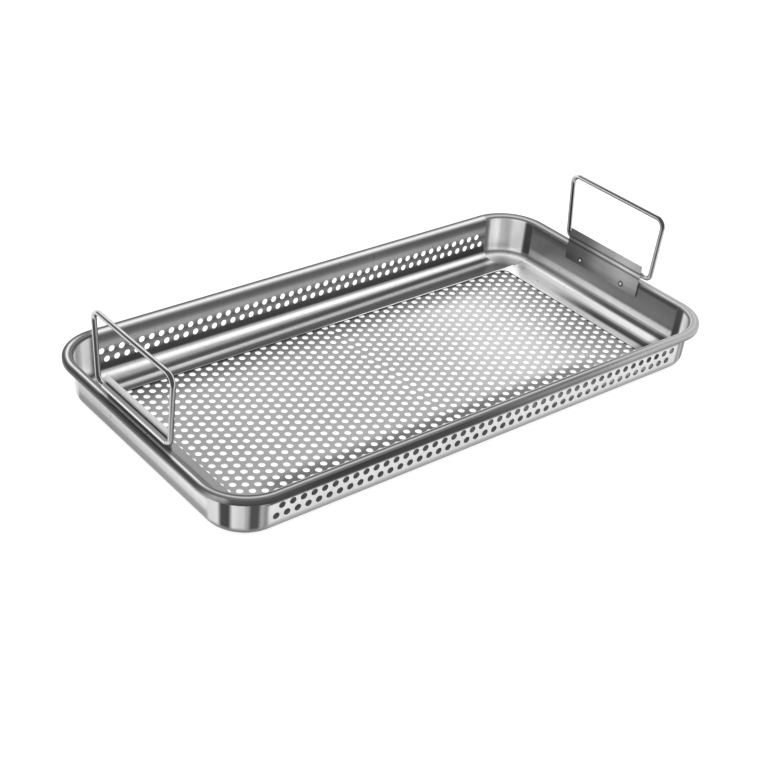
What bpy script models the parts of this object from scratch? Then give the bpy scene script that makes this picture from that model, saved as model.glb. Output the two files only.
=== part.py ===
"""Perforated sterilization tray with two upright drop handles.

A drawn stainless steel frame has a turned-down rim, two staggered rows of holes in each long
wall and a ledge inside its base. A perforated floor sheet is welded under that ledge. At each
end a sheet bracket is welded inside the wall and rolled around the lower bar of a wire handle.
Units are metres, +Z is up, +X runs along the length, and the underside stands at z = 0.
"""

import math

import bmesh
import bpy
from mathutils import Matrix, Vector

# Overall size
RIM_LENGTH = 0.4820
RIM_WIDTH = 0.2550
RIM_HEIGHT = 0.0380
RIM_CORNER_RADIUS = 0.0410
SHEET_THICKNESS = 0.0009
CLEARANCE = 0.0003

# Rim: a lip, an outer bend, a flat flange and an inner bend
LIP_DEPTH = 0.0045
LIP_BEND_RADIUS = 0.0016
FLANGE_FLAT = 0.0040
WALL_BEND_RADIUS = 0.0033

# Wall and base
WALL_DRAFT = 0.0011
COVE_RADIUS = 0.0080
MARGIN_WIDTH = 0.0100
JOGGLE_RUN = 0.0022
CORNER_STEPS = 8

# Floor sheet
FLOOR_THICKNESS = 0.0009
LEDGE_LEAST_WIDTH = 0.0100
FIELD_CORNER_RADIUS = 0.0080
FLOOR_OVERLAP = 0.0080

# Holes, as the walls have them
HOLE_DIAMETER = 0.0054
HOLE_SIDES = 6
HOLE_PITCH = 0.0090
WALL_UPPER_ROW_HEIGHT = 0.0212
CUTTER_REACH = 0.0060

# The floor's fine pattern as a coarse one, with wider holes that leave the same share open
COARSE_COLUMNS = 12
COARSE_HOLE_SIDES = 16

# Wire handle: a closed loop, wider at its top bar, that has slid a little along its hinge bar
WIRE_DIAMETER = 0.0042
HANDLE_HEIGHT = 0.0570
HANDLE_TOP_WIDTH = 0.1070
HANDLE_HINGE_WIDTH = 0.0985
HANDLE_TOP_BEND = 0.0080
HANDLE_HINGE_BEND = 0.0050
HANDLE_SLIDE = 0.0020
BEND_STEPS = 5
WIRE_BEVEL_RESOLUTION = 4

# Handle bracket: a plate on the wall, rolled outwards over the hinge bar
BRACKET_THICKNESS = 0.0010
BRACKET_WIDTH = 0.0860
BRACKET_BOTTOM_HEIGHT = 0.0248
HINGE_INSET = 0.0056
HINGE_HEIGHT = 0.0442
ROLL_END_ANGLE = -100.0
ROLL_STEPS = 14
WELD_SPACING = 0.0500
WELD_HEIGHT = 0.0296
WELD_DIAMETER = 0.0030
WELD_RISE = 0.0005

# Worked out from the driving dimensions
HALF_LENGTH = RIM_LENGTH / 2
HALF_WIDTH = RIM_WIDTH / 2
WALL_TOP_INSET = LIP_BEND_RADIUS + FLANGE_FLAT + WALL_BEND_RADIUS
WALL_TOP_HEIGHT = RIM_HEIGHT - WALL_BEND_RADIUS
WALL_FOOT_INSET = WALL_TOP_INSET + WALL_DRAFT
WALL_FOOT_HEIGHT = SHEET_THICKNESS + COVE_RADIUS
COVE_END_INSET = WALL_FOOT_INSET + COVE_RADIUS
LEDGE_HEIGHT = FLOOR_THICKNESS + CLEARANCE + SHEET_THICKNESS
LEDGE_INSET = COVE_END_INSET + MARGIN_WIDTH + JOGGLE_RUN
ROW_SPACING = HOLE_PITCH * math.sqrt(3) / 2
WALL_HOLES_PER_ROW = int(2 * (HALF_LENGTH - RIM_CORNER_RADIUS) / HOLE_PITCH)
HINGE_X = HALF_LENGTH - HINGE_INSET
ROLL_INNER_RADIUS = WIRE_DIAMETER / 2 + CLEARANCE

# The field that the ledge leaves open: its edges run through the middles of the outermost holes
FIELD_COLUMNS = int((HALF_LENGTH - LEDGE_INSET - LEDGE_LEAST_WIDTH) / ROW_SPACING - 0.5)
FIELD_ROWS = int((HALF_WIDTH - LEDGE_INSET - LEDGE_LEAST_WIDTH) / HOLE_PITCH - 0.5)
FIELD_HALF_LENGTH = (FIELD_COLUMNS + 0.5) * ROW_SPACING
FIELD_HALF_WIDTH = (FIELD_ROWS + 0.5) * HOLE_PITCH

# The coarse pattern keeps the fine one's proportions
COARSE_COLUMN_STEP = 2 * FIELD_HALF_LENGTH / (COARSE_COLUMNS + 1)
COARSE_PITCH = COARSE_COLUMN_STEP * HOLE_PITCH / ROW_SPACING
COARSE_HOLE_DIAMETER = COARSE_PITCH * HOLE_DIAMETER / HOLE_PITCH


def clear_scene():
    for item in list(bpy.data.objects):
        bpy.data.objects.remove(item, do_unlink=True)


def make_collection(name):
    collection = bpy.data.collections.new(name)
    bpy.context.scene.collection.children.link(collection)
    return collection


def steel(name, colour, roughness):
    material = bpy.data.materials.new(name)
    material.use_nodes = True
    shader = material.node_tree.nodes["Principled BSDF"]
    shader.inputs["Base Color"].default_value = (*colour, 1.0)
    shader.inputs["Metallic"].default_value = 1.0
    shader.inputs["Roughness"].default_value = roughness
    return material


def add_object(name, data, collection, material):
    item = bpy.data.objects.new(name, data)
    item.data.materials.append(material)
    collection.objects.link(item)
    return item


def add_cutter(name, bm, collection):
    mesh = bpy.data.meshes.new(name)
    bm.to_mesh(mesh)
    bm.free()
    cutter = bpy.data.objects.new(name, mesh)
    collection.objects.link(cutter)
    cutter.hide_render = True
    cutter.display_type = "WIRE"
    return cutter


def solidify(item, thickness):
    shell = item.modifiers.new("sheet thickness", "SOLIDIFY")
    shell.thickness = thickness
    shell.offset = -1.0
    shell.use_even_offset = True
    shell.use_quality_normals = True


def combine(item, other, operation):
    boolean = item.modifiers.new(operation.lower(), "BOOLEAN")
    boolean.operation = operation
    boolean.solver = "EXACT"
    boolean.object = other


def arc(centre, radius, start, end, steps):
    """Points on an arc, with the angles in degrees and both ends included."""
    points = []
    for step in range(steps + 1):
        angle = math.radians(start + (end - start) * step / steps)
        points.append((centre[0] + radius * math.cos(angle), centre[1] + radius * math.sin(angle)))
    return points


def rounded_rectangle(half_length, half_width, radius):
    """An outline that runs anticlockwise, seen from above."""
    x = half_length - radius
    y = half_width - radius
    corners = (((x, y), 0), ((-x, y), 90), ((-x, -y), 180), ((x, -y), 270))
    points = []
    for centre, start in corners:
        points += arc(centre, radius, start, start + 90, CORNER_STEPS)
    return points


def fillet_loop(corners, radii, steps):
    """A closed outline with each corner rounded by its own radius."""
    points = []
    for index, corner in enumerate(corners):
        here = Vector(corner)
        before = (Vector(corners[index - 1]) - here).normalized()
        after = (Vector(corners[(index + 1) % len(corners)]) - here).normalized()
        half_angle = before.angle(after) / 2
        radius = radii[index]
        centre = here + (before + after).normalized() * radius / math.sin(half_angle)
        first = here + before * radius / math.tan(half_angle) - centre
        turn = first.angle_signed(here + after * radius / math.tan(half_angle) - centre)
        for step in range(steps + 1):
            points.append(centre + Matrix.Rotation(-turn * step / steps, 2) @ first)
    return points


def frame_profile():
    """Inset from the rim's outer edge and height, from the lip down to the joggled ledge."""
    lip_centre = (LIP_BEND_RADIUS, RIM_HEIGHT - LIP_BEND_RADIUS)
    bend_centre = (LIP_BEND_RADIUS + FLANGE_FLAT, WALL_TOP_HEIGHT)
    cove_centre = (COVE_END_INSET, WALL_FOOT_HEIGHT)
    margin_end = COVE_END_INSET + MARGIN_WIDTH
    profile = [(0.0, RIM_HEIGHT - LIP_DEPTH)]
    profile += arc(lip_centre, LIP_BEND_RADIUS, 180, 90, 3)
    profile += arc(bend_centre, WALL_BEND_RADIUS, 90, 0, 4)
    profile += arc(cove_centre, COVE_RADIUS, 180, 270, 5)
    profile.append((margin_end, SHEET_THICKNESS))
    profile.append((LEDGE_INSET, LEDGE_HEIGHT))
    return profile


def add_ring(bm, outline, height):
    return [bm.verts.new((x, y, height)) for x, y in outline]


def join_rings(bm, outer, inner):
    """Faces between two rings with as many points, pointing up or to the tray's inside."""
    for index in range(len(outer)):
        bm.faces.new((outer[index - 1], outer[index], inner[index], inner[index - 1]))


def make_frame(collection, material):
    bm = bmesh.new()
    rings = []
    for inset, height in frame_profile():
        outline = rounded_rectangle(
            HALF_LENGTH - inset, HALF_WIDTH - inset, RIM_CORNER_RADIUS - inset
        )
        rings.append(add_ring(bm, outline, height))
    opening = rounded_rectangle(FIELD_HALF_LENGTH, FIELD_HALF_WIDTH, FIELD_CORNER_RADIUS)
    rings.append(add_ring(bm, opening, LEDGE_HEIGHT))
    for outer, inner in zip(rings, rings[1:]):
        join_rings(bm, outer, inner)
    mesh = bpy.data.meshes.new("tray_frame")
    bm.to_mesh(mesh)
    bm.free()
    frame = add_object("tray_frame", mesh, collection, material)
    solidify(frame, SHEET_THICKNESS)
    return frame


def wall_hole_places():
    """Centres on the front wall, with the upper row half a pitch further along than the lower."""
    places = []
    for row, shift in ((0, HOLE_PITCH / 4), (1, -HOLE_PITCH / 4)):
        height = WALL_UPPER_ROW_HEIGHT - row * ROW_SPACING
        for index in range(WALL_HOLES_PER_ROW):
            x = (index - (WALL_HOLES_PER_ROW - 1) / 2) * HOLE_PITCH + shift
            places.append((x, height))
    return places


def wall_hole_cutter(collection):
    """Hexagonal punches through both long walls; the back wall is the front one turned round."""
    bm = bmesh.new()
    wall_y = HALF_WIDTH - WALL_TOP_INSET
    upright = Matrix.Rotation(math.radians(90), 4, "X")
    for x, height in wall_hole_places():
        for side in (-1, 1):
            place = Matrix.Translation((-side * x, side * wall_y, height))
            add_punch(bm, HOLE_DIAMETER, HOLE_SIDES, place @ upright)
    return add_cutter("wall_punches", bm, collection)


def add_punch(bm, diameter, sides, matrix):
    bmesh.ops.create_cone(
        bm,
        cap_ends=True,
        segments=sides,
        radius1=diameter / 2,
        radius2=diameter / 2,
        depth=CUTTER_REACH,
        matrix=matrix,
    )


def coarse_hole_places():
    """Columns that are staggered by half a pitch, inside the field that the ledge leaves open."""
    reach = FIELD_HALF_WIDTH - COARSE_HOLE_DIAMETER / 2
    places = []
    for column in range(COARSE_COLUMNS):
        x = (column - (COARSE_COLUMNS - 1) / 2) * COARSE_COLUMN_STEP
        if column % 2:
            count = 2 * int(reach / COARSE_PITCH) + 1
        else:
            count = 2 * int(reach / COARSE_PITCH + 0.5)
        for row in range(count):
            places.append((x, (row - (count - 1) / 2) * COARSE_PITCH))
    return places


def floor_hole_cutter(collection):
    bm = bmesh.new()
    for x, y in coarse_hole_places():
        place = Matrix.Translation((x, y, FLOOR_THICKNESS / 2))
        add_punch(bm, COARSE_HOLE_DIAMETER, COARSE_HOLE_SIDES, place)
    return add_cutter("floor_punches", bm, collection)


def make_floor(collection, material):
    outline = rounded_rectangle(
        FIELD_HALF_LENGTH + FLOOR_OVERLAP,
        FIELD_HALF_WIDTH + FLOOR_OVERLAP,
        FIELD_CORNER_RADIUS + FLOOR_OVERLAP,
    )
    bm = bmesh.new()
    bm.faces.new(add_ring(bm, outline, FLOOR_THICKNESS))
    mesh = bpy.data.meshes.new("perforated_floor")
    bm.to_mesh(mesh)
    bm.free()
    floor = add_object("perforated_floor", mesh, collection, material)
    solidify(floor, FLOOR_THICKNESS)
    return floor


def bracket_profile():
    """The bracket's wall side as x and z: up the wall, then once round the hinge bar."""
    draft_per_height = WALL_DRAFT / (WALL_TOP_HEIGHT - WALL_FOOT_HEIGHT)
    wall_top_x = HALF_LENGTH - WALL_TOP_INSET - CLEARANCE
    bottom_x = wall_top_x - (WALL_TOP_HEIGHT - BRACKET_BOTTOM_HEIGHT) * draft_per_height
    profile = [(bottom_x, BRACKET_BOTTOM_HEIGHT), (wall_top_x, WALL_TOP_HEIGHT)]
    profile += arc((HINGE_X, HINGE_HEIGHT), ROLL_INNER_RADIUS, 180, ROLL_END_ANGLE, ROLL_STEPS)
    return profile


def bracket_face_x(height):
    """The plate's inner side at a height on its straight part."""
    (bottom_x, bottom), (top_x, top) = bracket_profile()[:2]
    return bottom_x + (top_x - bottom_x) * (height - bottom) / (top - bottom) - BRACKET_THICKNESS


def make_bracket(name, turn, collection, cutters, material):
    bm = bmesh.new()
    verts = [bm.verts.new((x, -BRACKET_WIDTH / 2, z)) for x, z in bracket_profile()]
    edges = [bm.edges.new(pair) for pair in zip(verts, verts[1:])]
    swept = bmesh.ops.extrude_edge_only(bm, edges=edges)["geom"]
    moved = [part for part in swept if isinstance(part, bmesh.types.BMVert)]
    bmesh.ops.translate(bm, verts=moved, vec=(0, BRACKET_WIDTH, 0))
    bm.faces.ensure_lookup_table()
    bmesh.ops.recalc_face_normals(bm, faces=bm.faces)
    plate = min(bm.faces, key=lambda face: face.calc_center_median().z)
    if plate.normal.x < 0:
        bmesh.ops.reverse_faces(bm, faces=bm.faces)
    mesh = bpy.data.meshes.new(name)
    bm.to_mesh(mesh)
    bm.free()
    bracket = add_object(name, mesh, collection, material)
    solidify(bracket, BRACKET_THICKNESS)
    welds = weld_marks(name + "_welds", cutters)
    for item in (bracket, welds):
        item.rotation_euler.z = turn
    combine(bracket, welds, "UNION")
    return bracket


def weld_marks(name, collection):
    """Two low domes where the plate is spot welded to the wall."""
    bm = bmesh.new()
    face_x = bracket_face_x(WELD_HEIGHT)
    sideways = Matrix.Rotation(math.radians(-90), 4, "Y")
    root = BRACKET_THICKNESS / 2
    for side in (-1, 1):
        middle = face_x + (root - WELD_RISE) / 2
        bmesh.ops.create_cone(
            bm,
            cap_ends=True,
            segments=8,
            radius1=WELD_DIAMETER / 2,
            radius2=WELD_DIAMETER / 4,
            depth=root + WELD_RISE,
            matrix=Matrix.Translation((middle, side * WELD_SPACING / 2, WELD_HEIGHT)) @ sideways,
        )
    return add_cutter(name, bm, collection)


def handle_outline():
    """The wire's centre line as y and z around the hinge bar's middle."""
    top = HANDLE_TOP_WIDTH / 2
    foot = HANDLE_HINGE_WIDTH / 2
    corners = [(-foot, 0.0), (foot, 0.0), (top, HANDLE_HEIGHT), (-top, HANDLE_HEIGHT)]
    radii = [HANDLE_HINGE_BEND, HANDLE_HINGE_BEND, HANDLE_TOP_BEND, HANDLE_TOP_BEND]
    return fillet_loop(corners, radii, BEND_STEPS)


def make_handle(name, side, collection, material):
    curve = bpy.data.curves.new(name, "CURVE")
    curve.dimensions = "3D"
    curve.bevel_depth = WIRE_DIAMETER / 2
    curve.bevel_resolution = WIRE_BEVEL_RESOLUTION
    outline = handle_outline()
    spline = curve.splines.new("POLY")
    spline.points.add(len(outline) - 1)
    for point, (y, z) in zip(spline.points, outline):
        point.co = (0.0, y, z, 1.0)
    spline.use_cyclic_u = True
    handle = add_object(name, curve, collection, material)
    handle.location = (side * HINGE_X, -side * HANDLE_SLIDE, HINGE_HEIGHT)
    return handle


def shade_round(item):
    item.data.shade_smooth()
    item.data.set_sharp_from_angle(angle=math.radians(35))


def build():
    clear_scene()
    parts = make_collection("sterilization_tray")
    cutters = make_collection("cutters")
    polished = steel("polished steel", (0.72, 0.72, 0.73), 0.16)
    sheet = steel("perforated sheet", (0.66, 0.66, 0.67), 0.28)
    wire = steel("bright wire", (0.75, 0.75, 0.76), 0.12)

    frame = make_frame(parts, polished)
    combine(frame, wall_hole_cutter(cutters), "DIFFERENCE")
    floor = make_floor(parts, sheet)
    combine(floor, floor_hole_cutter(cutters), "DIFFERENCE")
    shade_round(frame)
    shade_round(floor)

    for name, side, turn in (("right", 1, 0.0), ("left", -1, math.pi)):
        bracket = make_bracket("handle_bracket_" + name, turn, parts, cutters, polished)
        shade_round(bracket)
        make_handle("drop_handle_" + name, side, parts, wire)


build()
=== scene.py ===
"""The looks of a perforated sterilization tray with two drop handles."""

import math

import bpy
from mathutils import Matrix


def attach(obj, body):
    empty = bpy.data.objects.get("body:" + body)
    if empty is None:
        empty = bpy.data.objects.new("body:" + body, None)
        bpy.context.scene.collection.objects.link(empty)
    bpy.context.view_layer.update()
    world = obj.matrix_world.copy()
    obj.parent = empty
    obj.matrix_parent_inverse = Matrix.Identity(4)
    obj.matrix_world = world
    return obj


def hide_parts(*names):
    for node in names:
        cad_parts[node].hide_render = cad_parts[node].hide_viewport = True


# The tray's sizes in metres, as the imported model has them
HALF_LENGTH = 0.2410
HALF_WIDTH = 0.1275
RIM_HEIGHT = 0.0380
CORNER_RADIUS = 0.0410
SHEET = 0.0009
LIP_DEPTH = 0.0045
LIP_BEND = 0.0016
FLANGE = 0.0040
WALL_BEND = 0.0033
WALL_DRAFT = 0.0011
COVE = 0.0080
MARGIN = 0.0100
JOGGLE = 0.0022
LEDGE_HEIGHT = 0.0021
CORNER_SEGMENTS = 20
LEDGE_SEGMENTS = 8
OPENING_BOTTOM = -0.004
OPENING_DEPTH = 0.012

# Holes
PITCH = 0.0090
HOLE_RADIUS = 0.0027
HOLE_SEGMENTS = 16
EDGE_ROLL = 0.00016
ROW_SPACING = PITCH * math.sqrt(3) / 2
FIELD_COLUMNS = 52
FIELD_ROWS = 20
LEDGE_X = (FIELD_COLUMNS - 1) / 2 * ROW_SPACING
LEDGE_Y = (FIELD_ROWS - 1) / 2 * PITCH
LEDGE_CORNER = 0.0080
SHEET_X = LEDGE_X + 0.0080
SHEET_Y = LEDGE_Y + 0.0080
WALL_HOLES = 44
UPPER_ROW_HEIGHT = 0.0212
PUNCH_LENGTH = 0.006

# Handles and their brackets
WIRE_RADIUS = 0.0021
DRAWN_WIRE_RADIUS = WIRE_RADIUS * 0.996
HANDLE_HEIGHT = 0.0570
HANDLE_TOP_WIDTH = 0.1070
HANDLE_HINGE_WIDTH = 0.0985
TOP_BEND = 0.0080
HINGE_BEND = 0.0050
HANDLE_SLIDE = 0.0020
WIRE_BEND_SEGMENTS = 10
HINGE_X = 0.2354
HINGE_HEIGHT = 0.0442
BRACKET_SHEET = 0.0010
BRACKET_WIDTH = 0.0860
BRACKET_BOTTOM = 0.0248
BRACKET_GAP = 0.0003
ROLL_END = -100.0
ROLL_STEPS = 28
BRACKET_EDGE_ROLL = 0.00015
WELD_OFFSET = 0.0250
WELD_HEIGHT = 0.0296
WELD_RADIUS = 0.0015

WALL_TOP_INSET = LIP_BEND + FLANGE + WALL_BEND
WALL_TOP = RIM_HEIGHT - WALL_BEND
WALL_FOOT = SHEET + COVE


def deselect():
    bpy.ops.object.select_all(action="DESELECT")


def pick(item):
    deselect()
    item.select_set(True)
    bpy.context.view_layer.objects.active = item


def name_new(name):
    item = bpy.context.object
    item.name = name
    item.data.name = name
    return item


def settle(item):
    """Put the piece's place into its mesh."""
    pick(item)
    bpy.ops.object.transform_apply(location=True, rotation=True, scale=True)


def finish_modifiers(item):
    pick(item)
    for modifier in list(item.modifiers):
        bpy.ops.object.modifier_apply(modifier=modifier.name)


def edit_selected(item, mode, parts, test):
    """Enter edit mode with just the vertices, edges or faces selected that pass the test."""
    pick(item)
    bpy.ops.object.mode_set(mode="EDIT")
    bpy.ops.mesh.select_mode(type=mode)
    bpy.ops.mesh.select_all(action="DESELECT")
    bpy.ops.object.mode_set(mode="OBJECT")
    for part in parts:
        part.select = test(part)
    bpy.ops.object.mode_set(mode="EDIT")


def edge_ends(item, edge):
    return [item.data.vertices[index].co for index in edge.vertices]


def rounded_plate(name, half_length, half_width, height, radius, segments):
    """A flat face with round corners."""
    deselect()
    bpy.ops.mesh.primitive_plane_add(size=2, location=(0, 0, height))
    plate = name_new(name)
    plate.scale = (half_length, half_width, 1)
    settle(plate)
    bpy.ops.object.mode_set(mode="EDIT")
    bpy.ops.mesh.select_all(action="SELECT")
    bpy.ops.mesh.bevel(offset=radius, offset_type="OFFSET", segments=segments, affect="VERTICES")
    bpy.ops.mesh.select_all(action="SELECT")
    bpy.ops.object.mode_set(mode="OBJECT")
    return plate


def step_in(inward, upward):
    """Grow the selected middle face into the next ring of the section."""
    if inward < 1e-7:
        bpy.ops.mesh.extrude_region_move(TRANSFORM_OT_translate={"value": (0, 0, upward)})
    else:
        bpy.ops.mesh.inset(thickness=inward, depth=upward, use_even_offset=True)


def arc_steps(radius, start, end, steps):
    """Changes of inset and height along an arc given by its angles in degrees."""
    angles = [math.radians(start + (end - start) * step / steps) for step in range(steps + 1)]
    points = [(radius * math.cos(angle), radius * math.sin(angle)) for angle in angles]
    return [(b[0] - a[0], b[1] - a[1]) for a, b in zip(points, points[1:])]


def section_steps():
    """The rim, wall, cove, margin and ledge as changes of inset and height."""
    steps = [(0.0, LIP_DEPTH - LIP_BEND)]
    steps += arc_steps(LIP_BEND, 180, 90, 6)
    steps.append((FLANGE, 0.0))
    steps += arc_steps(WALL_BEND, 90, 0, 8)
    steps.append((WALL_DRAFT, WALL_FOOT - WALL_TOP))
    steps += arc_steps(COVE, 180, 270, 10)
    steps.append((MARGIN, 0.0))
    steps.append((JOGGLE, LEDGE_HEIGHT - SHEET))
    return steps


def punch(item, cutter):
    cut = item.modifiers.new("punched holes", "BOOLEAN")
    cut.operation = "DIFFERENCE"
    cut.solver = "EXACT"
    cut.material_mode = "TRANSFER"
    cut.object = cutter
    finish_modifiers(item)
    bpy.data.objects.remove(cutter, do_unlink=True)


def repeat(item, count, offset):
    row = item.modifiers.new("row", "ARRAY")
    row.count = count
    row.use_relative_offset = False
    row.use_constant_offset = True
    row.constant_offset_displace = offset


def join(items):
    pick(items[0])
    for item in items:
        item.select_set(True)
    bpy.ops.object.join()
    return bpy.context.object


def make_punch(name, place, turn):
    deselect()
    bpy.ops.mesh.primitive_cylinder_add(
        vertices=HOLE_SEGMENTS, radius=HOLE_RADIUS, depth=PUNCH_LENGTH, location=place, rotation=turn
    )
    return name_new(name)


def wall_punches():
    """Two staggered rows of round punches through both long walls."""
    rows = []
    first = -(WALL_HOLES - 1) / 2 * PITCH
    for side in (-1, 1):
        for row, shift in ((0, PITCH / 4), (1, -PITCH / 4)):
            place = (
                first - side * shift,
                side * (HALF_WIDTH - WALL_TOP_INSET),
                UPPER_ROW_HEIGHT - row * ROW_SPACING,
            )
            tool = make_punch("wall_punch", place, (math.pi / 2, 0, 0))
            settle(tool)
            repeat(tool, WALL_HOLES, (PITCH, 0, 0))
            finish_modifiers(tool)
            rows.append(tool)
    return join(rows)


def hole_cell(sheet_finish, edge_finish):
    """One hole's share of the sheet: top, rolled-over edge, punched wall and underside."""
    deselect()
    bpy.ops.mesh.primitive_plane_add(size=1, location=(0, 0, 0))
    cell = name_new("hole_cell")
    cell.scale = (ROW_SPACING, PITCH, 1)
    settle(cell)
    for material in (sheet_finish, edge_finish):
        cell.data.materials.append(material)
    bpy.ops.object.mode_set(mode="EDIT")
    bpy.ops.mesh.select_all(action="SELECT")
    bpy.ops.mesh.delete(type="ONLY_FACE")
    bpy.ops.object.mode_set(mode="OBJECT")

    def beside_the_next_column(edge):
        ends = edge_ends(cell, edge)
        return abs(ends[0].x - ends[1].x) < ROW_SPACING / 2

    edit_selected(cell, "EDGE", cell.data.edges, beside_the_next_column)
    bpy.ops.mesh.subdivide(number_cuts=1)
    bpy.ops.mesh.primitive_circle_add(vertices=HOLE_SEGMENTS, radius=HOLE_RADIUS + EDGE_ROLL)
    bpy.ops.mesh.select_all(action="SELECT")
    bpy.ops.mesh.bridge_edge_loops()
    bpy.ops.mesh.select_all(action="SELECT")
    bpy.ops.mesh.duplicate_move(TRANSFORM_OT_translate={"value": (0, 0, -SHEET)})
    bpy.ops.object.mode_set(mode="OBJECT")

    def round_the_hole(edge):
        return max(end.length for end in edge_ends(cell, edge)) < HOLE_RADIUS + EDGE_ROLL * 1.5

    edit_selected(cell, "EDGE", cell.data.edges, round_the_hole)
    shrink = HOLE_RADIUS / (HOLE_RADIUS + EDGE_ROLL)
    bpy.ops.mesh.extrude_edges_move(TRANSFORM_OT_translate={"value": (0, 0, -EDGE_ROLL)})
    bpy.ops.transform.resize(value=(shrink, shrink, 1))
    bpy.ops.mesh.extrude_edges_move(TRANSFORM_OT_translate={"value": (0, 0, EDGE_ROLL - SHEET)})
    bpy.ops.transform.resize(value=(1 / shrink, 1 / shrink, 1))
    bpy.ops.mesh.select_all(action="SELECT")
    bpy.ops.mesh.remove_doubles(threshold=0.00001)
    bpy.ops.object.mode_set(mode="OBJECT")
    for face in cell.data.polygons:
        face.material_index = 0 if abs(face.normal.z) > 0.5 else 1
    return cell


def end_cell(sheet_finish):
    """The half pitch of plain sheet past a column that has one hole less."""
    deselect()
    bpy.ops.mesh.primitive_plane_add(size=1, location=(0, 0, 0))
    cell = name_new("end_cell")
    cell.scale = (ROW_SPACING, PITCH / 2, 1)
    settle(cell)
    cell.data.materials.append(sheet_finish)
    bpy.ops.object.mode_set(mode="EDIT")
    bpy.ops.mesh.select_all(action="SELECT")
    bpy.ops.mesh.duplicate_move(TRANSFORM_OT_translate={"value": (0, 0, -SHEET)})
    bpy.ops.mesh.flip_normals()
    bpy.ops.object.mode_set(mode="OBJECT")
    return cell


def copy_to(item, x, y):
    twin = item.copy()
    twin.data = item.data.copy()
    bpy.context.scene.collection.objects.link(twin)
    twin.location = (x, y, SHEET)
    settle(twin)
    return twin


def holes_in_column(column):
    """Columns are staggered in each half; the two that meet in the middle are in phase."""
    left_half = column < FIELD_COLUMNS // 2
    full = column % 2 == (1 if left_half else 0)
    return FIELD_ROWS if full else FIELD_ROWS - 1


def hole_columns(cell, filler):
    columns = []
    for column in range(FIELD_COLUMNS):
        count = holes_in_column(column)
        x = (column - (FIELD_COLUMNS - 1) / 2) * ROW_SPACING
        strip = copy_to(cell, x, -(count - 1) / 2 * PITCH)
        repeat(strip, count, (0, PITCH, 0))
        finish_modifiers(strip)
        columns.append(strip)
        if count < FIELD_ROWS:
            reach = (FIELD_ROWS - 0.5) / 2 * PITCH
            columns += [copy_to(filler, x, side * reach) for side in (-1, 1)]
    for item in (cell, filler):
        bpy.data.objects.remove(item, do_unlink=True)
    return join(columns)


def soften_edges(item, width, segments):
    edge = item.modifiers.new("rolled-over edges", "BEVEL")
    edge.width = width
    edge.segments = segments
    edge.limit_method = "ANGLE"
    edge.angle_limit = math.radians(50)
    edge.use_clamp_overlap = True
    edge.harden_normals = False


def shade(item, angle):
    pick(item)
    bpy.ops.object.shade_smooth_by_angle(angle=math.radians(angle))
    flat = item.modifiers.new("flat faces stay flat", "WEIGHTED_NORMAL")
    flat.keep_sharp = True
    finish_modifiers(item)


def thicken(item, thickness, back_slot):
    """Give a sheet its thickness behind its faces; the back gets the next material."""
    sheet = item.modifiers.new("sheet thickness", "SOLIDIFY")
    sheet.thickness = thickness
    sheet.offset = -1
    sheet.use_even_offset = True
    sheet.use_quality_normals = True
    sheet.material_offset = back_slot
    sheet.material_offset_rim = back_slot
    finish_modifiers(item)


def make_frame(inside, outside, cut_edge):
    """Draw the section inwards from the rim, one ring after the other."""
    plate = rounded_plate(
        "drawn_frame",
        HALF_LENGTH,
        HALF_WIDTH,
        RIM_HEIGHT - LIP_DEPTH,
        CORNER_RADIUS,
        CORNER_SEGMENTS,
    )
    for material in (inside, outside):
        plate.data.materials.append(material)
    bpy.ops.object.mode_set(mode="EDIT")
    bpy.ops.mesh.select_mode(type="FACE")
    bpy.ops.mesh.select_all(action="SELECT")
    for inward, upward in section_steps():
        step_in(inward, upward)
    bpy.ops.mesh.select_all(action="DESELECT")
    bpy.ops.object.mode_set(mode="OBJECT")

    def lid(face):
        return abs(face.center.z - RIM_HEIGHT + LIP_DEPTH) < 0.0001

    edit_selected(plate, "FACE", plate.data.polygons, lid)
    bpy.ops.mesh.delete(type="FACE")
    bpy.ops.object.mode_set(mode="OBJECT")
    thicken(plate, SHEET, 1)
    opening = rounded_plate(
        "field_opening",
        LEDGE_X,
        LEDGE_Y,
        OPENING_BOTTOM,
        LEDGE_CORNER,
        LEDGE_SEGMENTS,
    )
    bpy.ops.object.mode_set(mode="EDIT")
    bpy.ops.mesh.select_all(action="SELECT")
    bpy.ops.mesh.extrude_region_move(TRANSFORM_OT_translate={"value": (0, 0, OPENING_DEPTH)})
    bpy.ops.mesh.select_all(action="SELECT")
    bpy.ops.mesh.normals_make_consistent(inside=False)
    bpy.ops.object.mode_set(mode="OBJECT")
    tool = join([wall_punches(), opening])
    tool.data.materials.append(cut_edge)
    punch(plate, tool)
    soften_edges(plate, EDGE_ROLL, 2)
    shade(plate, 40)
    return plate


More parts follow.
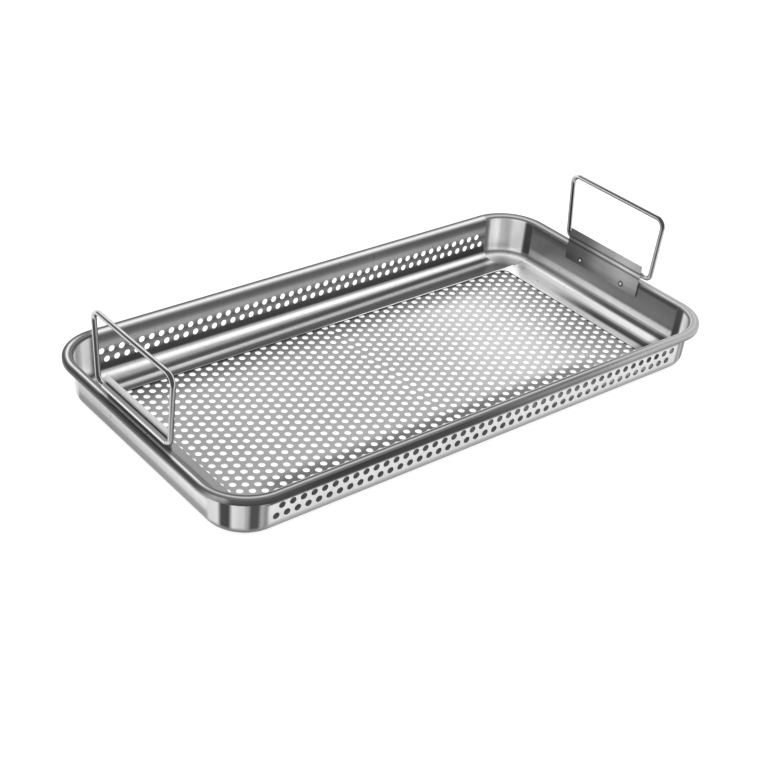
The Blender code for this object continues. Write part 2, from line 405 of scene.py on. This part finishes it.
def make_floor(sheet_finish, edge_finish):
    """Join the columns of holes, then draw the plain border outwards, down and back under."""
    sheet = hole_columns(hole_cell(sheet_finish, edge_finish), end_cell(sheet_finish))
    sheet.name = "punched_floor"
    sheet.data.name = "punched_floor"
    bpy.ops.object.mode_set(mode="EDIT")
    bpy.ops.mesh.select_mode(type="VERT")
    bpy.ops.mesh.select_all(action="SELECT")
    bpy.ops.mesh.remove_doubles(threshold=0.00002)
    bpy.ops.object.mode_set(mode="OBJECT")
    field_x = FIELD_COLUMNS / 2 * ROW_SPACING
    field_y = FIELD_ROWS / 2 * PITCH

    def on_border(edge):
        ends = edge_ends(sheet, edge)
        on_end = min(abs(end.x) for end in ends) > field_x - 0.00005
        on_side = min(abs(end.y) for end in ends) > field_y - 0.00005
        return (on_end or on_side) and min(end.z for end in ends) > SHEET / 2

    edit_selected(sheet, "EDGE", sheet.data.edges, on_border)
    wider = (SHEET_X / field_x, SHEET_Y / field_y)
    bpy.ops.mesh.extrude_edges_move(TRANSFORM_OT_translate={"value": (0, 0, 0)})
    bpy.ops.transform.resize(value=(wider[0], wider[1], 1))
    bpy.ops.mesh.extrude_edges_move(TRANSFORM_OT_translate={"value": (0, 0, -SHEET)})
    bpy.ops.mesh.extrude_edges_move(TRANSFORM_OT_translate={"value": (0, 0, 0)})
    bpy.ops.transform.resize(value=(1 / wider[0], 1 / wider[1], 1))
    bpy.ops.mesh.select_all(action="SELECT")
    bpy.ops.mesh.remove_doubles(threshold=0.00002)
    bpy.ops.mesh.normals_make_consistent(inside=False)
    bpy.ops.object.mode_set(mode="OBJECT")
    shade(sheet, 60)
    return sheet


def wall_x(height):
    """The end wall's inner side at a height."""
    slope = WALL_DRAFT / (WALL_TOP - WALL_FOOT)
    return HALF_LENGTH - WALL_TOP_INSET - (WALL_TOP - height) * slope


def make_bracket(name, turn, plate_finish):
    """A plate on the end wall whose upper edge is spun round the hinge bar.

    The spin passes under the bar first, unlike the solid's roll, which goes over it. That is an
    open fault.
    """
    deselect()
    bpy.ops.mesh.primitive_plane_add(size=1)
    plate = name_new(name)
    plate.data.materials.append(plate_finish)
    plate.scale = (BRACKET_WIDTH, WALL_TOP - BRACKET_BOTTOM, 1)
    plate.rotation_euler = (math.pi / 2, 0, math.pi / 2)
    plate.location = (0, 0, (WALL_TOP + BRACKET_BOTTOM) / 2)
    settle(plate)
    for vert in plate.data.vertices:
        vert.co.x = wall_x(vert.co.z) - BRACKET_GAP

    def upper_edge(edge):
        return min(end.z for end in edge_ends(plate, edge)) > WALL_TOP - 0.0001

    edit_selected(plate, "EDGE", plate.data.edges, upper_edge)
    roll_radius = WIRE_RADIUS + BRACKET_GAP
    lean = HINGE_X - roll_radius - (wall_x(WALL_TOP) - BRACKET_GAP)
    bpy.ops.mesh.extrude_region_move(
        TRANSFORM_OT_translate={"value": (lean, 0, HINGE_HEIGHT - WALL_TOP)}
    )
    bpy.ops.mesh.spin(
        steps=ROLL_STEPS,
        angle=math.radians(180 - ROLL_END),
        center=(HINGE_X, 0, HINGE_HEIGHT),
        axis=(0, 1, 0),
    )
    bpy.ops.mesh.select_all(action="SELECT")
    bpy.ops.mesh.normals_make_consistent(inside=False)
    bpy.ops.object.mode_set(mode="OBJECT")
    lowest = min(plate.data.polygons, key=lambda face: face.center.z)
    if lowest.normal.x < 0:
        plate.data.flip_normals()
    thicken(plate, BRACKET_SHEET, 0)
    soften_edges(plate, BRACKET_EDGE_ROLL, 2)
    finish_modifiers(plate)
    marks = [make_weld_mark(side * WELD_OFFSET) for side in (-1, 1)]
    weld = plate.modifiers.new("spot welds", "BOOLEAN")
    weld.operation = "UNION"
    weld.solver = "EXACT"
    tool = join(marks)
    weld.object = tool
    finish_modifiers(plate)
    bpy.data.objects.remove(tool, do_unlink=True)
    plate.rotation_euler = (0, 0, turn)
    settle(plate)
    shade(plate, 40)
    return plate


def make_weld_mark(y):
    deselect()
    bpy.ops.mesh.primitive_uv_sphere_add(
        segments=20, ring_count=12, radius=WELD_RADIUS, location=(0, 0, 0)
    )
    mark = name_new("weld_mark")
    mark.scale = (0.4, 1, 1)
    mark.location = (wall_x(WELD_HEIGHT) - BRACKET_GAP - BRACKET_SHEET, y, WELD_HEIGHT)
    settle(mark)
    return mark


def make_handle(name, side, wire_finish):
    """A closed wire loop, wider at its top bar, bent from the outline of a plate."""
    deselect()
    bpy.ops.mesh.primitive_plane_add(size=1)
    loop = name_new(name)
    loop.scale = (1, HANDLE_HEIGHT, 1)
    loop.rotation_euler = (math.pi / 2, 0, math.pi / 2)
    loop.location = (side * HINGE_X, -side * HANDLE_SLIDE, HINGE_HEIGHT + HANDLE_HEIGHT / 2)
    settle(loop)
    middle = HINGE_HEIGHT + HANDLE_HEIGHT / 2
    for vert in loop.data.vertices:
        width = HANDLE_TOP_WIDTH if vert.co.z > middle else HANDLE_HINGE_WIDTH
        vert.co.y = math.copysign(width / 2, vert.co.y) - side * HANDLE_SLIDE
    for bar_height, bend in ((HINGE_HEIGHT + HANDLE_HEIGHT, TOP_BEND), (HINGE_HEIGHT, HINGE_BEND)):

        def on_bar(vert):
            return abs(vert.co.z - bar_height) < 0.0001

        edit_selected(loop, "VERT", loop.data.vertices, on_bar)
        bpy.ops.mesh.bevel(offset=bend, segments=WIRE_BEND_SEGMENTS, affect="VERTICES")
        bpy.ops.object.mode_set(mode="OBJECT")
    bpy.ops.object.mode_set(mode="EDIT")
    bpy.ops.mesh.select_all(action="SELECT")
    bpy.ops.mesh.delete(type="ONLY_FACE")
    bpy.ops.object.mode_set(mode="OBJECT")
    bpy.ops.object.convert(target="CURVE")
    loop = bpy.context.object
    loop.data.bevel_depth = DRAWN_WIRE_RADIUS
    loop.data.bevel_resolution = 6
    bpy.ops.object.convert(target="MESH")
    loop = name_new(name)
    loop.data.materials.clear()
    loop.data.materials.append(wire_finish)
    # Each point's normal, read by the wire's painted highlight and shade
    facing = loop.data.attributes.new("facing", "FLOAT_VECTOR", "POINT")
    for index, vert in enumerate(loop.data.vertices):
        facing.data[index].vector = vert.normal
    shade(loop, 60)
    return loop


class Signal:
    """A value flowing through a material's nodes; plain sums and products add the maths nodes."""

    def __init__(self, finish, socket):
        self.finish = finish
        self.socket = socket

    def maths(self, operation, first, second=0.0):
        return self.finish.node("ShaderNodeMath", {"operation": operation}, {0: first, 1: second})

    def __add__(self, other):
        return self.maths("ADD", self, other)

    def __radd__(self, other):
        return self.maths("ADD", other, self)

    def __sub__(self, other):
        return self.maths("SUBTRACT", self, other)

    def __rsub__(self, other):
        return self.maths("SUBTRACT", other, self)

    def __mul__(self, other):
        return self.maths("MULTIPLY", self, other)

    def __rmul__(self, other):
        return self.maths("MULTIPLY", other, self)

    def __pow__(self, other):
        return self.maths("POWER", self, other)

    def __abs__(self):
        return self.maths("ABSOLUTE", self)

    def at_least(self, other):
        return self.maths("MAXIMUM", self, other)

    def at_most(self, other):
        return self.maths("MINIMUM", self, other)


class Finish:
    """One metal finish, with its reflections and shade painted in greys over the piece's own
    coordinates.
    """

    def __init__(self, name):
        self.material = bpy.data.materials.new(name)
        self.material.use_nodes = True
        self.tree = self.material.node_tree
        self.shader = self.tree.nodes["Principled BSDF"]
        self.place = self.node("ShaderNodeTexCoord", {}, {}, "Object")
        metres = self.node("ShaderNodeSeparateXYZ", {}, {0: self.place}).socket.node
        self.x, self.y, self.z = (Signal(self, out) * 1000 for out in metres.outputs)

    def node(self, kind, settings, inputs, output=0):
        made = self.tree.nodes.new(kind)
        for setting, value in settings.items():
            setattr(made, setting, value)
        for key, value in inputs.items():
            self.feed(made.inputs[key], value)
        return Signal(self, made.outputs[output])

    def feed(self, socket, value):
        if isinstance(value, Signal):
            self.tree.links.new(value.socket, socket)
        else:
            socket.default_value = value

    def ease(self, value, start, end, low=0.0, high=1.0):
        """Go smoothly from low to high while the value goes from start to end."""
        return self.node(
            "ShaderNodeMapRange",
            {"interpolation_type": "SMOOTHSTEP"},
            {"Value": value, "From Min": start, "From Max": end, "To Min": low, "To Max": high},
        )

    def bands(self, value, stops):
        """Shades along one direction, easing from each stop to the next."""
        shade_here = stops[0][1]
        for (start, low), (end, high) in zip(stops, stops[1:]):
            shade_here = shade_here + self.ease(value, start, end, 0.0, high - low)
        return shade_here

    def blend(self, first, second, amount):
        return first + (second - first) * amount

    def grain(self, scale, stretch, detail=3.0):
        """Fine noise between -0.5 and 0.5, drawn out along the polishing direction."""
        drawn = self.node(
            "ShaderNodeVectorMath", {"operation": "MULTIPLY"}, {0: self.place, 1: stretch}
        )
        noise = self.node(
            "ShaderNodeTexNoise", {}, {"Vector": drawn, "Scale": scale, "Detail": detail}
        )
        return noise - 0.5

    def steel(self, shade_here, rough, texture, depth):
        """Finish the shader: painted grey shade, roughness and the height of the surface texture."""
        colour = self.node(
            "ShaderNodeMix",
            {"data_type": "RGBA"},
            {0: shade_here.at_least(0.02).at_most(1.0) ** 2.2, 6: STEEL_IN_PAINTED_SHADE, 7: STEEL_IN_PAINTED_LIGHT},
            2,
        )
        bump = self.node("ShaderNodeBump", {}, {"Height": texture, "Distance": depth})
        self.feed(self.shader.inputs["Base Color"], colour)
        self.feed(self.shader.inputs["Roughness"], rough)
        self.feed(self.shader.inputs["Normal"], bump)
        self.shader.inputs["Metallic"].default_value = STEEL_METALLIC
        return self.material


# The two ends of every painted grey: steel in the deepest painted shade and in the brightest painted
# light.
STEEL_IN_PAINTED_SHADE = (0.012, 0.012, 0.013, 1)
STEEL_IN_PAINTED_LIGHT = (1.0, 1.0, 1.0, 1)
STEEL_METALLIC = 0.6
# Painted shade inside the wall holes, and a painted highlight on the walls of the floor's holes
PAINTED_WALL_PUNCH_SHADE = 0.26
PAINTED_FLOOR_PUNCH_HIGHLIGHT = 0.92

# Light and table
LIGHT_STRENGTH = 1.4
TABLE_GREY = (0.32, 0.32, 0.32, 1)
TABLE_GLOW = 0.82

# The photograph's view, fitted to its holes, rim, corners and handle bars
CAMERA_ANGLES = (-40.56, 32.15, 4.76)
CAMERA_PLACE = (-0.6870, -0.7860, 0.6419)
CAMERA_LENS = 71.72
CAMERA_SHIFT = (0.0084, 0.0051)
# The direction that the wire's painted highlight faces
TOWARDS_PHOTOGRAPHER = (-0.55, -0.59, 0.59)

# Painted reflections and shade across the drawn sheet. Each stop is a distance in millimetres,
# counted inwards and downwards from the top of the rim, and a shade of grey.
LONG_SIDE_INSIDE = (
    (1.6, 0.20), (2.4, 0.22), (3.2, 0.32), (4.8, 0.68), (6.5, 0.84), (8.0, 0.74), (10.0, 0.44),
    (11.5, 0.40), (15.0, 0.42), (17.0, 0.52), (19.5, 0.70), (22.0, 0.74), (25.0, 0.58),
    (27.5, 0.42), (30.0, 0.52), (33.0, 0.58), (35.5, 0.46), (38.0, 0.28), (42.5, 0.22),
    (45.0, 0.60), (47.5, 0.90), (50.0, 0.94), (54.0, 0.80), (56.5, 0.50), (58.5, 0.34),
    (60.5, 0.35), (64.5, 0.88), (66.5, 0.80), (70.0, 0.34), (73.0, 0.28), (78.0, 0.34),
)
END_INSIDE_NEAR = (
    (1.6, 0.70), (3.2, 0.52), (5.6, 0.56), (6.8, 0.74), (8.9, 0.42), (10.1, 0.22), (11.5, 0.24),
    (15.0, 0.44), (33.0, 0.50), (36.5, 1.0), (40.0, 1.0), (42.7, 0.55), (45.0, 0.24),
    (47.5, 0.22), (52.0, 1.0), (57.0, 1.0), (60.5, 0.70), (64.0, 0.22), (68.0, 0.20),
    (72.5, 0.92), (78.0, 0.92),
)
END_INSIDE_FAR = (
    (1.6, 0.24), (3.2, 0.26), (5.0, 0.50), (6.6, 0.68), (9.0, 0.32), (11.5, 0.30), (15.0, 0.38),
    (19.0, 0.47), (33.0, 0.50), (36.5, 0.72), (40.0, 0.74), (45.0, 0.36), (47.5, 0.50),
    (52.0, 1.0), (57.0, 1.0), (61.0, 0.90), (66.0, 0.92), (72.0, 0.96), (78.0, 1.0),
)
CORNER_MARGIN = ((50.0, 0.84), (55.0, 0.74), (60.0, 0.58), (66.0, 0.38), (70.0, 0.22), (74.0, 0.12))
# Upright stripes of painted reflection round an inside corner, by the angle in degrees from the end
# to the long side
CORNER_STRIPES = (
    (0.0, 0.46), (7.0, 0.27), (15.0, 0.27), (22.0, 1.0), (36.0, 1.0), (47.0, 0.76),
    (57.0, 0.80), (66.0, 1.0), (76.0, 0.98), (84.0, 0.50), (90.0, 0.60),
)
# Painted reflections across the rim's flange, at the front and at the left end
NEAR_FLANGE = ((1.0, 0.30), (2.2, 0.32), (3.0, 0.50), (3.9, 0.68), (4.8, 0.44), (5.6, 0.14))
LEFT_FLANGE = ((1.0, 0.12), (1.9, 0.16), (2.8, 0.50), (3.9, 0.84), (4.8, 0.60), (5.8, 0.28))
# Painted reflections and shade down the outside, by the height above the table in millimetres
LONG_SIDE_OUTSIDE = (
    (0.2, 0.34), (1.1, 0.50), (5.0, 0.52), (8.0, 0.70), (10.0, 0.84), (24.0, 0.88),
)
END_OUTSIDE = (
    (0.2, 0.32), (1.4, 0.50), (4.0, 0.36), (7.0, 0.50), (9.5, 0.50), (12.0, 0.56), (15.0, 0.76),
    (20.0, 0.84), (23.2, 0.80), (25.4, 0.30), (30.0, 0.20),
)
# Painted reflections along the front lip, by x in millimetres
FRONT_LIP_ALONG = (
    (-240.0, 0.75), (-234.0, 0.55), (-229.0, 0.24), (-190.0, 0.18), (-150.0, 0.08),
    (-60.0, 0.14), (60.0, 0.44), (150.0, 0.62),
)
# Painted reflections and shade along the floor and the right bracket, and up both brackets, in
# millimetres
FLOOR_ALONG = ((-200.0, 0.54), (-120.0, 0.57), (0.0, 0.57), (120.0, 0.70), (195.0, 0.58))
RIGHT_BRACKET_ALONG = ((-43.0, 0.56), (-25.0, 0.62), (0.0, 0.53), (26.0, 0.34), (38.0, 0.30))
LEFT_BRACKET_SHADE = 0.60
BRACKET_UPWARDS = (
    (26.0, 0.92), (34.0, 1.16), (40.5, 1.20), (41.4, 0.80), (42.4, 0.80), (43.4, 1.50),
    (44.8, 1.50), (45.8, 0.80), (46.6, 0.80), (47.4, 1.30),
)
# Painted highlight and shade round the wire, by how far its surface faces the photographer
WIRE_ROUND = (
    (-1.0, 0.50), (-0.4, 0.70), (-0.1, 0.16), (0.30, 0.16), (0.46, 0.74), (0.64, 0.80),
    (0.73, 0.60), (0.79, 0.18),
)
# Upright stripes of painted reflection round an outside corner, by the angle from the end to the
# long side
OUTSIDE_STRIPES = (
    (0.0, 0.80), (21.0, 0.84), (28.0, 0.20), (35.0, 0.18), (42.0, 0.84), (54.0, 0.78),
    (59.0, 0.62), (65.0, 0.24), (71.0, 0.24), (77.0, 0.62), (83.0, 0.50), (90.0, 0.80),
)


def across_the_sheet(finish):
    """How far a point lies in from the rim, and how far round its corner, in degrees."""
    past_end = (abs(finish.x) - (HALF_LENGTH - CORNER_RADIUS) * 1000).at_least(0.0)
    past_side = (abs(finish.y) - (HALF_WIDTH - CORNER_RADIUS) * 1000).at_least(0.0)
    reach = (past_end * past_end + past_side * past_side) ** 0.5
    round_corner = past_side.maths("ARCTAN2", past_side, past_end) * (180 / math.pi)
    return CORNER_RADIUS * 1000 - reach, round_corner


def polished_inside():
    """Rim, inner walls, cove, margin and ledge: electropolished, with what they mirror painted in as
    reflections and shade.
    """
    finish = Finish("polished inside")
    inward, angle = across_the_sheet(finish)
    down = inward + RIM_HEIGHT * 1000 - finish.z
    # Painted reflection bands down the long sides and the ends
    slant = finish.ease(down, 44.0, 56.0, 0.0, 0.022)
    long_side = finish.bands(down + finish.x * slant, LONG_SIDE_INSIDE)
    near = finish.bands(down, END_INSIDE_NEAR)
    far = finish.bands(down, END_INSIDE_FAR)
    end = finish.blend(near, far, finish.ease(finish.y, -30.0, 45.0))
    # Painted shade: the left end darker than the right
    end = end * finish.ease(finish.x, -20.0, 20.0, 0.54, 1.0)
    is_long = finish.ease(angle, 84.0, 90.0)
    straight = finish.blend(end, long_side, is_long)
    # Painted reflection stripes up the inside corners, and painted shade on their margins
    upright = finish.ease(down, 9.0, 12.0) * finish.ease(down, 46.0, 40.0)
    on_margin = finish.ease(down, 46.0, 52.0)
    in_corner = finish.ease(angle, 0.5, 5.0) * finish.ease(angle, 89.5, 85.0)
    stripes = finish.bands(angle, CORNER_STRIPES)
    margin = finish.bands(down, CORNER_MARGIN)
    shade_here = finish.blend(straight, stripes, in_corner * upright)
    shade_here = finish.blend(shade_here, margin, in_corner * on_margin * 0.8)
    # Painted shade on the front margin and ledge, seen through the front wall's holes, deepest to
    # the left
    front_foot_shade = finish.ease(finish.y, -72.0, -82.0) * finish.ease(finish.z, 8.0, 4.0)
    front_foot_shade = front_foot_shade * finish.ease(finish.x, -40.0, 150.0, 0.80, 0.35)
    shade_here = shade_here * (1.0 - front_foot_shade)
    # Painted reflections on the rim's flange, along the front and at the left end
    on_rim = finish.ease(inward, 7.0, 6.0)
    to_the_right = finish.ease(finish.x, 60.0, 200.0)
    front_rim = finish.blend(finish.bands(inward, NEAR_FLANGE), 0.62, to_the_right * 0.8)
    left_rim = finish.bands(inward, LEFT_FLANGE)
    at_front = finish.ease(finish.y, -80.0, -112.0)
    at_left = finish.ease(finish.x, -196.0, -226.0) * (1.0 - at_front)
    shade_here = finish.blend(shade_here, front_rim, on_rim * at_front)
    shade_here = finish.blend(shade_here, left_rim, on_rim * at_left)
    # Painted reflections and shade on the downturned lip
    on_lip = finish.ease(inward, 0.9, 0.4)
    low_lip = finish.ease(finish.z, 36.6, 33.6)
    left_lip = (0.10 + 0.32 * low_lip) * finish.ease(finish.y, -90.0, 10.0, 1.7, 1.0)
    front_lip = finish.bands(finish.x, FRONT_LIP_ALONG)
    front_lip = front_lip * (1.0 - 0.3 * low_lip)
    lip = finish.blend(0.40 + 0.2 * low_lip, front_lip, at_front)
    lip = finish.blend(lip, left_lip, at_left)
    shade_here = finish.blend(shade_here, lip, on_lip)
    polish = finish.grain(260.0, (1.0, 1.0, 0.25))
    clouds = finish.grain(18.0, (1.0, 1.0, 0.5), 2.0)
    shade_here = shade_here * (1.0 + polish * 0.10 + clouds * 0.08)
    return finish.steel(shade_here, 0.30 + polish * 0.12, polish, 0.00002)


def polished_outside():
    """The outer sides of the walls and the underside, with painted reflections and shade."""
    finish = Finish("polished outside")
    inward, angle = across_the_sheet(finish)
    long_side = finish.bands(finish.z, LONG_SIDE_OUTSIDE)
    end = finish.bands(finish.z, END_OUTSIDE)
    # The ends painted lighter towards the front
    end = end * finish.ease(finish.y, -90.0, 90.0, 1.06, 0.88)
    # Painted shadow under the lip on the long sides, lighter to the right
    lip_shadow = finish.ease(finish.z, 23.8, 25.4)
    long_side = finish.blend(long_side, finish.ease(finish.x, -60.0, 130.0, 0.24, 0.72), lip_shadow)
    shade_here = finish.blend(end, long_side, finish.ease(angle, 80.0, 90.0))
    # Painted reflection stripes up the outside corners
    stripes = finish.bands(angle, OUTSIDE_STRIPES)
    in_corner = finish.ease(angle, 0.5, 8.0) * finish.ease(angle, 89.5, 82.0)
    upright = finish.ease(finish.z, 5.0, 9.0)
    shade_here = finish.blend(shade_here, stripes, in_corner * upright)
    polish = finish.grain(260.0, (1.0, 1.0, 0.25))
    clouds = finish.grain(22.0, (1.0, 1.0, 0.6), 2.0)
    shade_here = shade_here * (1.0 + polish * 0.08 + clouds * 0.08)
    return finish.steel(shade_here, 0.30 + polish * 0.12, polish, 0.00002)


def punched_edge(name, shade_here):
    """The wall of each punched hole, with the fine marks of the punch, in a given painted grey:
    painted shade in the wall holes, a painted highlight in the floor's holes.
    """
    finish = Finish(name)
    burr = finish.grain(900.0, (1.0, 1.0, 0.2))
    return finish.steel(shade_here + burr * 0.16, 0.38 + burr * 0.2, burr, 0.00003)


def satin_floor():
    """The punched sheet: a fine satin, with painted reflections lighter at the right and painted
    shade by the front and back.
    """
    finish = Finish("satin floor")
    satin = finish.grain(420.0, (0.15, 1.0, 1.0))
    clouds = finish.grain(9.0, (1.0, 1.6, 1.0), 2.0)
    # Painted reflections along the floor
    shade_here = finish.bands(finish.x, FLOOR_ALONG)
    # Painted shade on the floor behind the front rim
    shade_by_the_rim = finish.ease(finish.y, -62.0, -76.0) * finish.ease(finish.x, -185.0, -155.0)
    shade_by_the_rim = shade_by_the_rim * finish.ease(finish.x, 175.0, 120.0)
    shade_here = shade_here * (1.0 - shade_by_the_rim * 0.42)
    # Painted shade near the back ledge
    shade_here = shade_here * finish.ease(finish.y, 56.0, 84.0, 1.0, 0.66)
    shade_here = shade_here * (1.0 + satin * 0.14 + clouds * 0.16)
    return finish.steel(shade_here, 0.36 + satin * 0.16, satin, 0.00003)


def bracket_plate():
    """The plates: grey, the right one with painted shade darker to the back, with painted highlights
    and shade up the plates and their rolls, and two bright ringed weld marks.
    """
    finish = Finish("bracket plate")
    shade_here = finish.bands(finish.y, RIGHT_BRACKET_ALONG)
    shade_here = finish.blend(LEFT_BRACKET_SHADE, shade_here, finish.ease(finish.x, -1.0, 1.0))
    # Painted highlights and shade up the plate and round its roll
    shade_here = shade_here * finish.bands(finish.z, BRACKET_UPWARDS)
    off_weld_y = abs(finish.y) - WELD_OFFSET * 1000
    off_weld_z = finish.z - WELD_HEIGHT * 1000
    off_weld = (off_weld_y * off_weld_y + off_weld_z * off_weld_z) ** 0.5
    dark_ring = finish.ease(off_weld, 3.2, 2.2) * finish.ease(off_weld, 0.9, 1.6)
    bright_mark = finish.ease(off_weld, 1.6, 0.8)
    shade_here = finish.blend(shade_here, 0.22, dark_ring * 0.8)
    shade_here = finish.blend(shade_here, 0.95, bright_mark)
    brushing = finish.grain(380.0, (1.0, 0.12, 1.0))
    shade_here = shade_here * (1.0 + brushing * 0.16)
    return finish.steel(shade_here, 0.32 + brushing * 0.14, brushing, 0.00002)


def bright_wire():
    """Bright wire: a painted highlight along its middle and painted shade at its sides, as a light
    tent shows it.
    """
    finish = Finish("bright wire")
    facing = finish.node("ShaderNodeAttribute", {"attribute_name": "facing"}, {}, "Vector")
    towards = finish.node(
        "ShaderNodeVectorMath",
        {"operation": "DOT_PRODUCT"},
        {0: facing, 1: TOWARDS_PHOTOGRAPHER},
        "Value",
    )
    shade_here = finish.bands(towards, WIRE_ROUND)
    drawing = finish.grain(700.0, (1.0, 0.3, 0.3))
    shade_here = shade_here * (1.0 + drawing * 0.10)
    return finish.steel(shade_here, 0.22 + drawing * 0.12, drawing, 0.00001)


def make_table():
    """A white table that stays white to the eye and in the steel, and still takes a shadow."""
    deselect()
    bpy.ops.mesh.primitive_plane_add(size=6, location=(0, 0, -0.0002))
    table = name_new("table_top")
    settle(table)
    finish = Finish("white table")
    path = finish.node("ShaderNodeLightPath", {}, {}, "Is Camera Ray").socket.node
    seen = Signal(finish, path.outputs["Is Camera Ray"])
    seen = seen.at_least(Signal(finish, path.outputs["Is Glossy Ray"]))
    seen = seen.at_least(Signal(finish, path.outputs["Is Transmission Ray"]))
    paper = finish.grain(40.0, (1.0, 1.0, 1.0))
    finish.feed(finish.shader.inputs["Roughness"], 0.85 + paper * 0.1)
    finish.shader.inputs["Base Color"].default_value = TABLE_GREY
    finish.shader.inputs["Emission Color"].default_value = (1, 1, 1, 1)
    finish.feed(finish.shader.inputs["Emission Strength"], seen * TABLE_GLOW)
    table.data.materials.append(finish.material)
    return table


def make_world():
    world = bpy.data.worlds.new("light tent")
    bpy.context.scene.world = world
    world.use_nodes = True
    background = world.node_tree.nodes["Background"]
    background.inputs["Color"].default_value = (1, 1, 1, 1)
    background.inputs["Strength"].default_value = LIGHT_STRENGTH


def make_camera():
    """Stand where the photograph was taken from, turned by azimuth, elevation and roll."""
    azimuth, elevation, roll = (math.radians(value) for value in CAMERA_ANGLES)
    back = (
        math.sin(azimuth) * math.cos(elevation),
        -math.cos(azimuth) * math.cos(elevation),
        math.sin(elevation),
    )
    right = (math.cos(azimuth), math.sin(azimuth), 0.0)
    up = (
        back[1] * right[2] - back[2] * right[1],
        back[2] * right[0] - back[0] * right[2],
        back[0] * right[1] - back[1] * right[0],
    )
    rolled_right = [r * math.cos(roll) + u * math.sin(roll) for r, u in zip(right, up)]
    rolled_up = [u * math.cos(roll) - r * math.sin(roll) for r, u in zip(right, up)]
    data = bpy.data.cameras.new("photograph_view")
    data.sensor_width = 36
    data.lens = CAMERA_LENS
    data.shift_x, data.shift_y = CAMERA_SHIFT
    camera = bpy.data.objects.new("photograph_view", data)
    bpy.context.scene.collection.objects.link(camera)
    columns = (rolled_right, rolled_up, back, CAMERA_PLACE)
    rows = [[column[i] for column in columns] for i in range(3)]
    camera.matrix_world = Matrix(rows + [[0, 0, 0, 1]])
    bpy.context.scene.camera = camera


def place_piece(item, body, node):
    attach(item, body)
    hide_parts(node)


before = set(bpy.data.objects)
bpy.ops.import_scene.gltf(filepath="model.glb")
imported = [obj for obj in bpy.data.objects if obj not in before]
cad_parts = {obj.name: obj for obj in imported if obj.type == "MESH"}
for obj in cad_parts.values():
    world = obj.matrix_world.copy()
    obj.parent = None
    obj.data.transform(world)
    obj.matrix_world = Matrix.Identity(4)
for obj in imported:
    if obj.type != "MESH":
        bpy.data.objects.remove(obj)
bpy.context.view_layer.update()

inside_steel = polished_inside()
outside_steel = polished_outside()
cut_steel = punched_edge("punched wall edge", PAINTED_WALL_PUNCH_SHADE)
floor_edge_steel = punched_edge("punched floor edge", PAINTED_FLOOR_PUNCH_HIGHLIGHT)
floor_steel = satin_floor()
bracket_steel = bracket_plate()
wire_steel = bright_wire()

place_piece(make_frame(inside_steel, outside_steel, cut_steel), "tray", "tray_frame")
place_piece(make_floor(floor_steel, floor_edge_steel), "tray", "perforated_floor")
for name, side, turn in (("right", 1, 0.0), ("left", -1, math.pi)):
    bracket = make_bracket("rolled_bracket_" + name, turn, bracket_steel)
    place_piece(bracket, "tray", "handle_bracket_" + name)
    handle = make_handle("wire_handle_" + name, side, wire_steel)
    place_piece(handle, name + "_handle", "drop_handle_" + name)

make_table()
make_world()
make_camera()
bpy.context.scene.view_settings.view_transform = "Standard"
